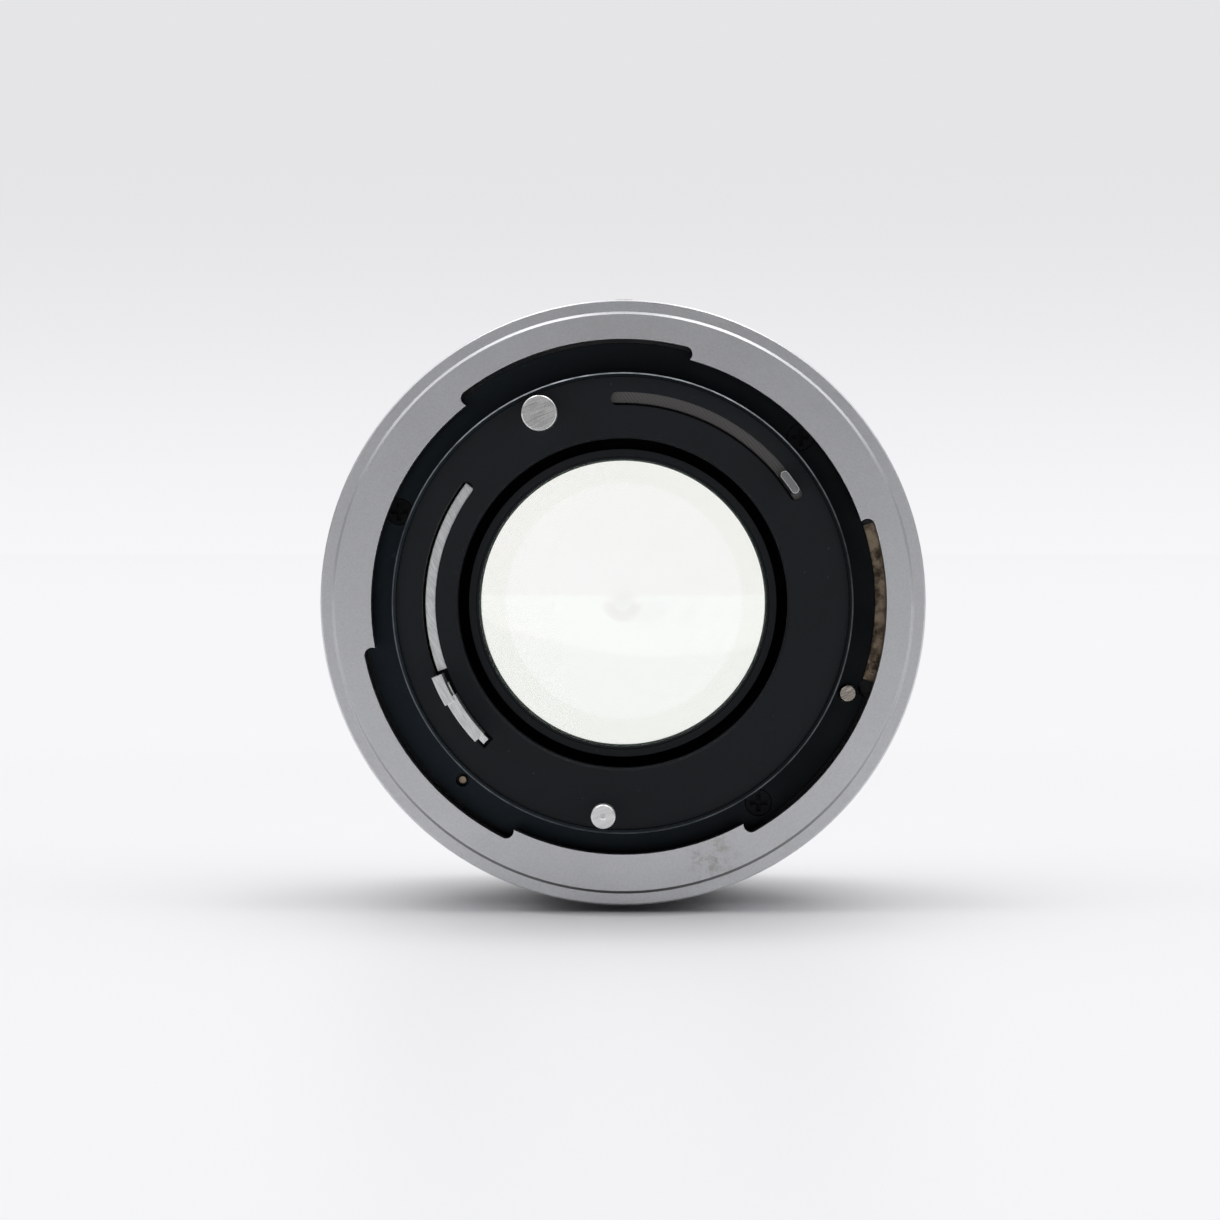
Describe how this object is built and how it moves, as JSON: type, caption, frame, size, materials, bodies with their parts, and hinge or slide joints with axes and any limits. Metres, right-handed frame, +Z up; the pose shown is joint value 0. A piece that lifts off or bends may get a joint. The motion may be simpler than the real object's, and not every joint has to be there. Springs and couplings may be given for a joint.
{
  "type": "standard prime lens",
  "caption": "Standard prime lens with a breech-lock mount, automatic iris, aperture ring, ribbed focusing ring and filter thread.",
  "frame": {"origin": "centre of the mount flange's register face, on the optical axis", "axes": "-Y points out of the rear of the lens, towards the camera; +Y points out of the front element; +Z is up as the lens lies on its side"},
  "size_m": [0.0648, 0.0605, 0.0646],
  "materials": {
    "black_anodised": "satin black",
    "black_enamel": "gloss black",
    "blade_black": "burnished",
    "blue_black": "smooth blue-black",
    "brass_bright": "bright",
    "bronze_strip": "dull bronze",
    "brushed_lever": "brushed",
    "grip_rubber": "matt",
    "helicoid_brass": "greased",
    "index_red": "gloss red",
    "matt_black": "matt black",
    "optical_glass": "polished, coated",
    "polished_steel": "polished",
    "silver_satin": "satin, finely turned, clear anodised",
    "spring_steel": "drawn"
  },
  "bodies": {
    "fixed_barrel": {"main_barrel": "black_anodised", "mount_flange": "blue_black", "flange_screws": "black_anodised", "lock_spring_leaf": "bronze_strip", "leaf_screw": "bronze_strip", "light_baffle": "matt_black", "full_aperture_pin": "polished_steel", "guide_pin": "polished_steel", "lever_deck": "matt_black", "locating_pin": "brass_bright", "lock_pin_spring": "spring_steel", "click_ball": "polished_steel", "click_spring": "spring_steel", "scale_ring": "silver_satin", "scale_ring_screws": "spring_steel", "guide_keys": "brushed_lever", "helicoid_snap_ring": "spring_steel"},
    "breech_ring_set": {"breech_ring": "silver_satin", "breech_index_bead": "index_red"},
    "lock_pin_body": {"lock_pin": "polished_steel"},
    "aperture_ring_set": {"aperture_ring": "black_anodised", "signal_lever": "brushed_lever"},
    "lock_button_body": {"auto_lock_button": "polished_steel"},
    "auto_lever_body": {"auto_lever": "brushed_lever"},
    "focus_ring_set": {"focus_ring": "black_anodised", "focus_grip": "grip_rubber", "focus_ring_screws": "spring_steel", "focus_helicoid": "helicoid_brass"},
    "optical_unit": {"helicoid_carrier": "black_anodised", "front_barrel": "black_anodised", "front_barrel_screws": "spring_steel", "front_bezel": "black_enamel", "front_cell": "matt_black", "front_retaining_ring": "matt_black", "front_spacer": "matt_black", "middle_retaining_ring": "matt_black", "iris_housing": "matt_black", "cam_keeper": "spring_steel", "rear_cell": "matt_black", "rear_spacer_front": "matt_black", "rear_spacer_back": "matt_black", "rear_retaining_ring": "matt_black", "glass_element_1": "optical_glass", "glass_element_2": "optical_glass", "glass_element_3": "optical_glass", "glass_element_4": "optical_glass", "glass_element_5": "optical_glass", "glass_element_6": "optical_glass", "glass_element_7": "optical_glass"},
    "iris_cam": {"iris_cam_ring": "brushed_lever"},
    "iris_blade_1_body": {"iris_blade_1": "blade_black"},
    "iris_blade_2_body": {"iris_blade_2": "blade_black"},
    "iris_blade_3_body": {"iris_blade_3": "blade_black"},
    "iris_blade_4_body": {"iris_blade_4": "blade_black"},
    "iris_blade_5_body": {"iris_blade_5": "blade_black"},
    "iris_blade_6_body": {"iris_blade_6": "blade_black"},
    "iris_blade_7_body": {"iris_blade_7": "blade_black"},
    "iris_blade_8_body": {"iris_blade_8": "blade_black"}
  },
  "joints": [
    {"name": "breech_turn", "type": "hinge", "parent": "fixed_barrel", "child": "breech_ring_set", "pos_m": [0, 0, 0], "axis": [0, -1, 0], "range_deg": [0, 60]},
    {"name": "lock_pin_press", "type": "slide", "parent": "fixed_barrel", "child": "lock_pin_body", "axis": [0, 1, 0], "range_m": [0, 0.0008], "stiffness_N_per_m": 500, "springref_m": -0.0008},
    {"name": "aperture_turn", "type": "hinge", "parent": "fixed_barrel", "child": "aperture_ring_set", "pos_m": [0, 0, 0], "axis": [0, -1, 0], "range_deg": [0, 52]},
    {"name": "lock_button_press", "type": "slide", "parent": "aperture_ring_set", "child": "lock_button_body", "axis": [-0.788, 0, -0.6157], "range_m": [0, 0.0006], "stiffness_N_per_m": 400, "springref_m": -0.0006},
    {"name": "auto_lever_turn", "type": "hinge", "parent": "fixed_barrel", "child": "auto_lever_body", "pos_m": [0, 0, 0], "axis": [0, 1, 0], "range_deg": [0, 54], "stiffness_Nm_per_rad": 0.004, "springref_deg": -28.65},
    {"name": "focus_turn", "type": "hinge", "parent": "fixed_barrel", "child": "focus_ring_set", "pos_m": [0, 0, 0], "axis": [0, -1, 0], "range_deg": [0, 180]},
    {"name": "optics_advance", "type": "slide", "parent": "fixed_barrel", "child": "optical_unit", "axis": [0, 1, 0], "range_m": [0, 0.0077]},
    {"name": "iris_cam_turn", "type": "hinge", "parent": "optical_unit", "child": "iris_cam", "pos_m": [0, 0, 0], "axis": [0, 1, 0], "range_deg": [0, 54]},
    {"name": "iris_blade_1_turn", "type": "hinge", "parent": "optical_unit", "child": "iris_blade_1_body", "pos_m": [0.0194, 0.019, 0], "axis": [0, -1, 0], "range_deg": [0, 36]},
    {"name": "iris_blade_2_turn", "type": "hinge", "parent": "optical_unit", "child": "iris_blade_2_body", "pos_m": [0.01372, 0.019, 0.01372], "axis": [0, -1, 0], "range_deg": [0, 36]},
    {"name": "iris_blade_3_turn", "type": "hinge", "parent": "optical_unit", "child": "iris_blade_3_body", "pos_m": [0, 0.019, 0.0194], "axis": [0, -1, 0], "range_deg": [0, 36]},
    {"name": "iris_blade_4_turn", "type": "hinge", "parent": "optical_unit", "child": "iris_blade_4_body", "pos_m": [-0.01372, 0.019, 0.01372], "axis": [0, -1, 0], "range_deg": [0, 36]},
    {"name": "iris_blade_5_turn", "type": "hinge", "parent": "optical_unit", "child": "iris_blade_5_body", "pos_m": [-0.0194, 0.019, 0], "axis": [0, -1, 0], "range_deg": [0, 36]},
    {"name": "iris_blade_6_turn", "type": "hinge", "parent": "optical_unit", "child": "iris_blade_6_body", "pos_m": [-0.01372, 0.019, -0.01372], "axis": [0, -1, 0], "range_deg": [0, 36]},
    {"name": "iris_blade_7_turn", "type": "hinge", "parent": "optical_unit", "child": "iris_blade_7_body", "pos_m": [0, 0.019, -0.0194], "axis": [0, -1, 0], "range_deg": [0, 36]},
    {"name": "iris_blade_8_turn", "type": "hinge", "parent": "optical_unit", "child": "iris_blade_8_body", "pos_m": [0.01372, 0.019, -0.01372], "axis": [0, -1, 0], "range_deg": [0, 36]}
  ],
  "couplings": [
    {"joint": "optics_advance", "follows": "focus_turn", "m_per_rad": 0.002451},
    {"joint": "iris_cam_turn", "follows": "auto_lever_turn", "ratio": 1},
    {"joint": "iris_blade_1_turn", "follows": "auto_lever_turn", "ratio": 0.66667},
    {"joint": "iris_blade_2_turn", "follows": "auto_lever_turn", "ratio": 0.66667},
    {"joint": "iris_blade_3_turn", "follows": "auto_lever_turn", "ratio": 0.66667},
    {"joint": "iris_blade_4_turn", "follows": "auto_lever_turn", "ratio": 0.66667},
    {"joint": "iris_blade_5_turn", "follows": "auto_lever_turn", "ratio": 0.66667},
    {"joint": "iris_blade_6_turn", "follows": "auto_lever_turn", "ratio": 0.66667},
    {"joint": "iris_blade_7_turn", "follows": "auto_lever_turn", "ratio": 0.66667},
    {"joint": "iris_blade_8_turn", "follows": "auto_lever_turn", "ratio": 0.66667}
  ]
}
